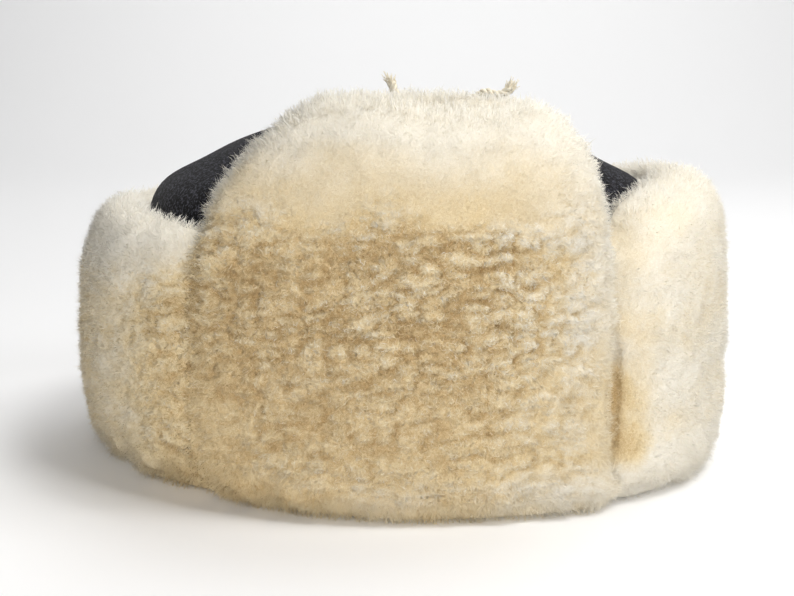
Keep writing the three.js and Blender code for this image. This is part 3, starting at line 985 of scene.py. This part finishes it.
def tube(path, radius, sides):
    """Points and faces of a tube with closed ends."""
    along, across, third = path_frames(path)
    angle = np.linspace(0, 2 * math.pi, sides, endpoint=False)
    turn = angle[None, :, None]
    ring = np.cos(turn) * across[:, None] + np.sin(turn) * third[:, None]
    count = len(path)
    radii = np.broadcast_to(radius, count)[:, None, None]
    points = (path[:, None] + ring * radii).reshape(-1, 3)
    i, j = np.meshgrid(np.arange(count - 1), np.arange(sides), indexing="ij")
    a = (i * sides + j).ravel()
    b = (i * sides + (j + 1) % sides).ravel()
    faces = np.stack([a, b, b + sides, a + sides], 1)
    points = np.vstack([points, path[:1], path[-1:]])
    ring = np.arange(sides)
    first = np.stack([np.full(sides, count * sides), (ring + 1) % sides, ring], 1)
    base = (count - 1) * sides
    last = np.stack([np.full(sides, count * sides + 1), base + ring, base + (ring + 1) % sides], 1)
    return points, faces, np.vstack([first, last])


# Twisted cord: its plies' count, the length of a full turn, and their reach from the axis and radius
# as shares of the cord's diameter, with those of the tighter knot
PLIES = 3
PLY_PITCH = 8 * MM
PLY_SIDES = 8
PLY_REACH = 0.25
PLY_RADIUS = 0.25
KNOT_SHARE = 0.84
KNOT_POINTS = 90


def join_tubes(name, tubes):
    """One mesh object from several tubes."""
    mesh = bpy.data.meshes.new(name)
    points = []
    faces = []
    for spots, quads, ends in tubes:
        base = sum(len(p) for p in points)
        points.append(spots)
        faces += (quads + base).tolist() + (ends + base).tolist()
    mesh.from_pydata(np.vstack(points).tolist(), [], faces)
    mesh.validate()
    obj = link(bpy.data.objects.new(name, mesh))
    shade_smooth(obj)
    return obj


def ply_paths(path, diameter):
    """The twisted plies of a cord along its path."""
    along, across, third = path_frames(path)
    length = np.r_[0, np.cumsum(np.linalg.norm(np.diff(path, axis=0), axis=1))]
    reach = diameter * PLY_REACH
    for k in range(PLIES):
        angle = 2 * math.pi * (length / PLY_PITCH + k / PLIES)
        yield path + reach * (np.cos(angle)[:, None] * across + np.sin(angle)[:, None] * third)


# Frayed end: its loose threads' length, count and thickness, and how far from the cord's axis they
# start. The plies end some points of the path before it does, and the threads a few points later.
FRAY_LENGTH = 6 * MM
FRAY_STRANDS = 44
THREAD_RADIUS = 0.24 * MM
FRAY_REACH = 0.42
POINTS_PER_SPAN = 14
FRAYED_POINTS = 9
FRAY_OVERLAP = 4


def fray(path, diameter, rng):
    """Loose threads that spread from a cord's end."""
    along, across, third = path_frames(path)
    stop = path[-1]
    tubes = []
    for _ in range(FRAY_STRANDS):
        angle = rng.uniform(0, 2 * math.pi)
        reach = diameter * FRAY_REACH * math.sqrt(rng.random())
        side = across[-1] * math.cos(angle) + third[-1] * math.sin(angle)
        length = FRAY_LENGTH * rng.uniform(0.5, 1.0)
        lean = rng.uniform(0.0, 0.35) * side + rng.normal(0, 0.12, 3)
        bend = rng.normal(0, 0.3, 3)
        t = np.linspace(0, 1, 7)[:, None]
        start = stop - along[-1] * 0.55 * FRAY_LENGTH + side * reach
        line = start + length * (along[-1] * t + lean * t**1.6 + bend * np.sin(t * 5) * 0.35 * t)
        tubes.append(tube(line, THREAD_RADIUS * (1.15 - 0.6 * t[:, 0]), 4))
    return tubes


def make_cord(name, frayed, rng):
    """A twisted cord along its route, with a frayed end where it is a free one, and its path."""
    path = spline(np.array(ROUTES_MM[name]) * MM, POINTS_PER_SPAN)
    keep = len(path) - (FRAYED_POINTS if frayed else 0)
    plies = ply_paths(path, CORD_DIAMETER)
    tubes = [tube(line[:keep], CORD_DIAMETER * PLY_RADIUS, PLY_SIDES) for line in plies]
    if frayed:
        tubes += fray(path[:keep + FRAY_OVERLAP], CORD_DIAMETER, rng)
    obj = join_tubes("cotton_" + name, tubes)
    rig.replaces(obj, name)
    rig.slot(obj, "cotton")
    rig.ride(obj, "root")
    return obj, path


def make_knot():
    """The two cords' knot: a closed knotted line of the same twisted cord."""
    low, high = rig.box("tie_knot")
    centre = np.array((low + high) / 2)
    half = np.array((high - low) / 2)
    t = np.linspace(0, 2 * math.pi, KNOT_POINTS)
    x = np.sin(t) + 2 * np.sin(2 * t)
    y = np.cos(t) - 2 * np.cos(2 * t)
    line = np.stack([x, y, -np.sin(3 * t)], 1)
    diameter = CORD_DIAMETER * KNOT_SHARE
    line = centre + line / np.abs(line).max(0) * (half - diameter / 2)
    tubes = [tube(ply, diameter * PLY_RADIUS, PLY_SIDES) for ply in ply_paths(line, diameter)]
    obj = join_tubes("cotton_tie_knot", tubes)
    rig.replaces(obj, "tie_knot")
    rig.slot(obj, "cotton")
    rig.ride(obj, "root")
    return obj


class Shader:
    """A node material under construction."""

    def __init__(self, name):
        self.material = bpy.data.materials.new(name)
        self.material.use_nodes = True
        self.tree = self.material.node_tree
        self.tree.nodes.clear()
        self.output = self.add("ShaderNodeOutputMaterial")
        self.surface = self.add("ShaderNodeBsdfPrincipled")
        self.join(self.surface.outputs[0], self.output.inputs["Surface"])

    def add(self, kind, **values):
        node = self.tree.nodes.new(kind)
        for name, value in values.items():
            if name in node.inputs:
                node.inputs[name].default_value = value
            else:
                setattr(node, name, value)
        return node

    def join(self, out, into):
        self.tree.links.new(out, into)

    def ramp(self, factor, stops):
        node = self.add("ShaderNodeValToRGB")
        elements = node.color_ramp.elements
        while len(elements) < len(stops):
            elements.new(1.0)
        for element, (place, colour) in zip(elements, stops):
            element.position = place
            element.color = (*colour, 1.0)
        self.join(factor, node.inputs["Fac"])
        return node.outputs["Color"]

    def noise(self, scale, detail, roughness=0.55, distortion=0.0):
        place = self.add("ShaderNodeTexCoord")
        looks = dict(Scale=scale, Detail=detail, Roughness=roughness, Distortion=distortion)
        node = self.add("ShaderNodeTexNoise", **looks)
        self.join(place.outputs["Object"], node.inputs["Vector"])
        return node.outputs["Fac"]

    def mix(self, factor, first, second):
        node = self.add("ShaderNodeMix", data_type="RGBA")
        colours = [socket for socket in node.inputs if socket.type == "RGBA"]
        if isinstance(factor, float):
            node.inputs["Factor"].default_value = factor
        else:
            self.join(factor, node.inputs["Factor"])
        self.join(first, colours[0])
        self.join(second, colours[1])
        return next(socket for socket in node.outputs if socket.type == "RGBA")

    def bump(self, height, strength, distance):
        node = self.add("ShaderNodeBump", Strength=strength, Distance=distance)
        self.join(height, node.inputs["Height"])
        self.join(node.outputs["Normal"], self.surface.inputs["Normal"])

    def set(self, **values):
        for name, value in values.items():
            self.surface.inputs[name.replace("_", " ")].default_value = value


def linear(red, green, blue):
    """Linear colour from 0 to 255 display values."""
    shares = (value / 255 for value in (red, green, blue))
    return tuple(((c + 0.055) / 1.055) ** 2.4 if c > 0.04045 else c / 12.92 for c in shares)


# Colours of the fibres' roots and tips, from golden to pale, and the grain of the matted pile
FIBRE_TONES = (0.0, 0.5, 1.0)
ROOT_COLOURS = (linear(183, 153, 105), linear(214, 192, 148), linear(230, 223, 208))
TIP_COLOURS = (linear(232, 211, 168), linear(240, 226, 193), linear(240, 236, 226))
PILE_GRAIN = (1100.0, 4.0, 0.7, 1.2)


def wool_material():
    """Wool fibres, coloured from root to tip and from golden to pale by the fibre map."""
    shader = Shader("wool_fibres")
    uv = shader.add("ShaderNodeUVMap", uv_map="OFBake")
    split = shader.add("ShaderNodeSeparateXYZ")
    shader.join(uv.outputs["UV"], split.inputs[0])
    root = shader.ramp(split.outputs["X"], list(zip(FIBRE_TONES, ROOT_COLOURS)))
    tip = shader.ramp(split.outputs["X"], list(zip(FIBRE_TONES, TIP_COLOURS)))
    colour = shader.mix(split.outputs["Y"], root, tip)
    shader.join(colour, shader.surface.inputs["Base Color"])
    shader.set(Roughness=0.7, Specular_IOR_Level=0.2)
    through = shader.add("ShaderNodeBsdfTranslucent")
    shader.join(colour, through.inputs["Color"])
    both = shader.add("ShaderNodeMixShader")
    side = shader.add("ShaderNodeNewGeometry")
    shader.join(side.outputs["Backfacing"], both.inputs["Fac"])
    shader.join(shader.surface.outputs[0], both.inputs[1])
    shader.join(through.outputs[0], both.inputs[2])
    shader.join(both.outputs[0], shader.output.inputs["Surface"])
    return shader.material


def fleece_material():
    """Matted pile under the fibres, in the tone of each of its points, with the painted shade and highlight of the
    folds in that tone.
    """
    shader = Shader("fleece")
    tone = shader.add("ShaderNodeAttribute", attribute_name="tone").outputs["Fac"]
    fine = shader.noise(*PILE_GRAIN)
    low = shader.ramp(tone, list(zip(FIBRE_TONES, ROOT_COLOURS)))
    high = shader.ramp(tone, list(zip(FIBRE_TONES, TIP_COLOURS)))
    shade = shader.ramp(fine, [(0.35, (0, 0, 0)), (0.65, (1, 1, 1))])
    shader.join(shader.mix(shade, low, high), shader.surface.inputs["Base Color"])
    shader.bump(fine, 0.5, 0.0005)
    shader.set(Roughness=0.95, Specular_IOR_Level=0.1)
    return shader.material


def lining_material():
    """Short wool inside the crown."""
    shader = Shader("lining")
    coarse = shader.noise(260.0, 3.0)
    fine = shader.noise(*PILE_GRAIN)
    shader.join(
        shader.ramp(coarse, [(0.3, linear(214, 198, 160)), (0.7, linear(244, 236, 214))]),
        shader.surface.inputs["Base Color"],
    )
    shader.bump(fine, 0.8, 0.0012)
    shader.set(Roughness=0.95, Specular_IOR_Level=0.1)
    return shader.material


def suede_material():
    """Charcoal suede: mottled colour and the fine relief of its nap."""
    shader = Shader("suede")
    wide = shader.noise(60.0, 3.0)
    patches = shader.ramp(wide, [(0.35, linear(5, 5, 7)), (0.65, linear(12, 12, 15))])
    nap = shader.noise(820.0, 3.0, 0.75)
    grain = shader.ramp(nap, [(0.5, linear(1, 1, 2)), (0.62, linear(98, 98, 109))])
    shader.join(shader.mix(0.5, patches, grain), shader.surface.inputs["Base Color"])
    shader.bump(nap, 0.8, 0.0004)
    shader.set(Roughness=0.95, Specular_IOR_Level=0.06)
    shader.set(Sheen_Weight=0.06, Sheen_Roughness=0.5)
    return shader.material


def cotton_material():
    """Undyed cotton: cream, with the fine grain of its threads."""
    shader = Shader("cotton")
    grain = shader.noise(900.0, 4.0, 0.7)
    shade = shader.ramp(grain, [(0.3, linear(232, 218, 188)), (0.7, linear(252, 247, 232))])
    shader.join(shade, shader.surface.inputs["Base Color"])
    shader.bump(shader.noise(2600.0, 4.0, 0.7), 0.6, 0.0003)
    shader.set(Roughness=0.9, Specular_IOR_Level=0.15)
    return shader.material


def set_material(obj, material):
    obj.data.materials.clear()
    obj.data.materials.append(material)


# The studio floor: half its width, its reach before and behind the hat, and the wall at its back
FLOOR_HALF = 2.2
FLOOR_FRONT = 1.7
SWEEP_START = 1.4
SWEEP_RADIUS = 0.9
SWEEP_STEPS = 12
WALL_HEIGHT = 3.5


def make_stage():
    """A white sweep: a floor that turns up into a wall behind the hat."""
    profile = [(-FLOOR_FRONT, 0.0), (SWEEP_START, 0.0)]
    for k in range(1, SWEEP_STEPS + 1):
        angle = math.radians(90 * k / SWEEP_STEPS)
        back = SWEEP_START + SWEEP_RADIUS * math.sin(angle)
        profile.append((back, SWEEP_RADIUS * (1 - math.cos(angle))))
    profile.append((SWEEP_START + SWEEP_RADIUS, WALL_HEIGHT))
    points = np.array([(x, y, z) for y, z in profile for x in (-FLOOR_HALF, FLOOR_HALF)])
    rows = np.arange(len(profile) - 1)[:, None] * 2
    floor = mesh_from_arrays("studio_floor", points, rows + (0, 1, 3, 2))
    shade_smooth(floor)
    shader = Shader("studio_white")
    shader.set(Base_Color=(0.94, 0.94, 0.942, 1), Roughness=0.9, Specular_IOR_Level=0.1)
    set_material(floor, shader.material)
    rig.stage(floor)


# Lights: name, place, size, watts and colour
LIGHTS = [
    ("key", (0.6, -0.35, 1.35), 0.5, 10.5, (1.0, 0.995, 0.985)),
    ("side", (1.2, -0.2, 0.75), 0.5, 4.5, (1.0, 0.995, 0.985)),
    ("rear", (0.35, 0.4, 1.45), 0.6, 5.5, (1.0, 1.0, 1.0)),
    ("front", (0.1, -1.75, 0.5), 1.2, 18.0, (1.0, 1.0, 1.0)),
    ("fill", (-0.9, -1.3, 0.9), 1.2, 3.0, (1.0, 1.0, 1.0)),
    ("backdrop", (0.0, 1.3, 1.9), 1.6, 21.5, (1.0, 1.0, 1.0)),
]
HAT_TARGET = (0, 0, 0.07)
BACKDROP_TARGET = (0, 2.2, 0.8)

# Strength of the surroundings as a light on the hat, and as the camera sees them beyond the floor
WORLD_LIGHT = 0.05
WORLD_BRIGHTNESS = 0.85


def make_lights():
    for name, place, size, watts, colour in LIGHTS:
        data = bpy.data.lights.new(name, "AREA")
        data.size = size
        data.energy = watts
        data.color = colour
        lamp = link(bpy.data.objects.new(name, data))
        look_from(lamp, place, BACKDROP_TARGET if name == "backdrop" else HAT_TARGET)


def make_world():
    """White surroundings, dim as a light and bright to the camera, and plain display colours."""
    world = bpy.data.worlds.new("studio")
    world.use_nodes = True
    tree = world.node_tree
    background = tree.nodes["Background"]
    background.inputs["Color"].default_value = (1.0, 1.0, 1.0, 1)
    rays = tree.nodes.new("ShaderNodeLightPath")
    strength = tree.nodes.new("ShaderNodeMapRange")
    strength.inputs["To Min"].default_value = WORLD_LIGHT
    strength.inputs["To Max"].default_value = WORLD_BRIGHTNESS
    tree.links.new(rays.outputs["Is Camera Ray"], strength.inputs["Value"])
    tree.links.new(strength.outputs["Result"], background.inputs["Strength"])
    bpy.context.scene.world = world
    bpy.context.scene.view_settings.view_transform = "Standard"


def make_ties(rng):
    """The cords with their frayed ends and their knot, and what the frame is told of the cords."""
    cords = {name: make_cord(name, name.startswith("tie_end"), rng) for name in ROUTES_MM}
    knot = make_knot()
    cotton = cotton_material()
    for obj, _ in cords.values():
        set_material(obj, cotton)
    set_material(knot, cotton)
    for side, with_pieces in (
        ("tie_cord_right", [knot, cords["tie_end_rear"][0]]),
        ("tie_cord_left", [cords["tie_end_front"][0]]),
    ):
        obj, path = cords[side]
        length = float(np.linalg.norm(np.diff(path, axis=0), axis=1).sum())
        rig.cord(
            obj,
            exit=path[0],
            length=length,
            diameter=CORD_DIAMETER,
            far_end="knot",
            stiffness="medium",
            lay="taut",
            path=path,
            with_pieces=with_pieces,
        )


def make_hide():
    """The flaps' wool and skin sides, and the crown."""
    wool = wool_material()
    fleece = fleece_material()
    suede = suede_material()
    for k, node in enumerate(FLAPS):
        body, *fibres = make_flap(node, SEED + 20 + k)
        set_material(body, fleece)
        for piece in fibres:
            set_material(piece, wool)
        set_material(make_skin(node), suede)
    shell, lining = make_crown()
    set_material(shell, suede)
    set_material(lining, lining_material())


def main():
    make_camera()
    make_ties(np.random.default_rng(SEED))
    make_hide()
    make_stage()
    make_lights()
    make_world()


main()
with open("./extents.json", "w") as out:
    json.dump({"cad": cad_box, "visual": [list(corner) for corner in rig.bounds()]}, out)
